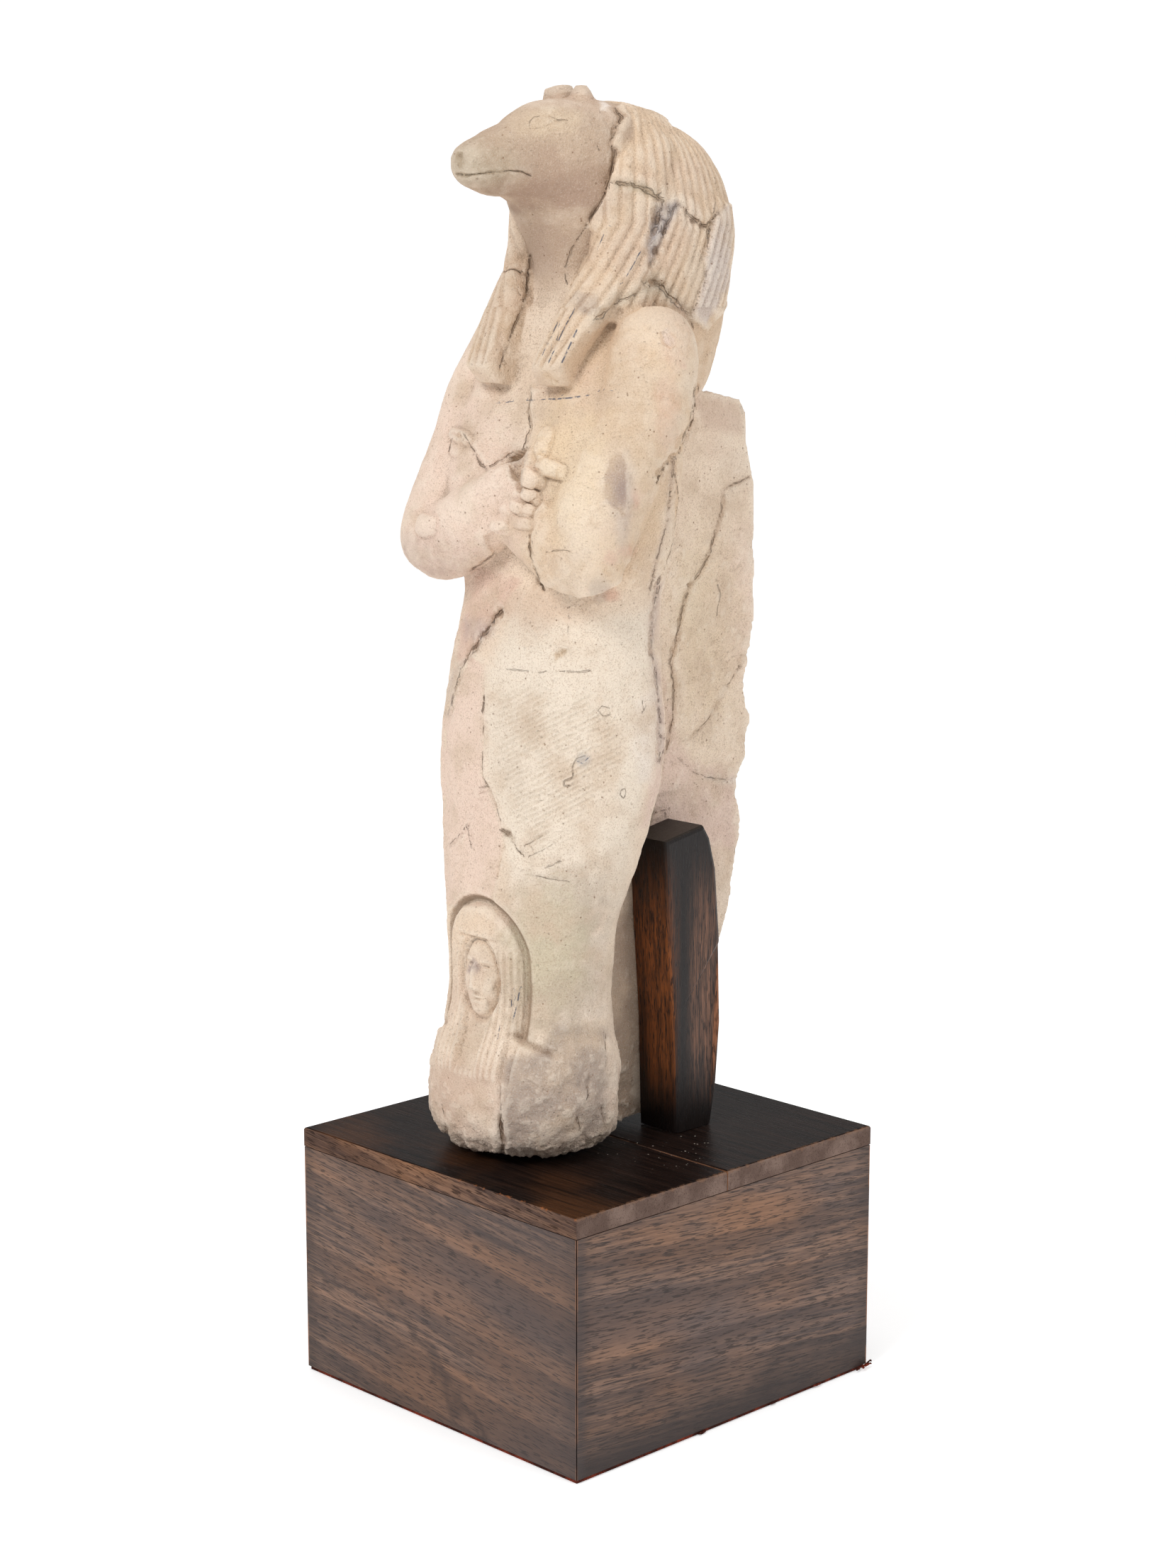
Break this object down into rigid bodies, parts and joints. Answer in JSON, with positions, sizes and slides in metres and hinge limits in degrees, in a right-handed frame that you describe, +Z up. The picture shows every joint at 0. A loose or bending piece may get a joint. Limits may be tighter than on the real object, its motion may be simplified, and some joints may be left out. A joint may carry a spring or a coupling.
{
  "type": "carved figure on a box base",
  "caption": "Worn limestone figure of a jackal-headed god in a striped wig with crossed arms and a back slab, held by a wooden post on a hollow walnut box base.",
  "frame": {"origin": "middle of the base's underside, on the surface it stands on", "axes": "+Z up, -Y the way the figure faces, +X the figure's left"},
  "size_m": [0.146, 0.1526, 0.4723],
  "materials": {
    "limestone": null,
    "dark_walnut": "nearly black stained walnut, semi-gloss",
    "walnut": "brown walnut with darker streaks and open pores, satin",
    "red_felt": "thin frayed felt"
  },
  "bodies": {
    "root": {"figure": "limestone", "support_post": "dark_walnut", "base_top_front_board": "dark_walnut", "base_top_rear_board": "dark_walnut", "base_front_board": "walnut", "base_back_board": "walnut", "base_left_board": "walnut", "base_right_board": "walnut", "base_bottom_board": "walnut", "felt_pad": "red_felt"}
  },
  "joints": []
}
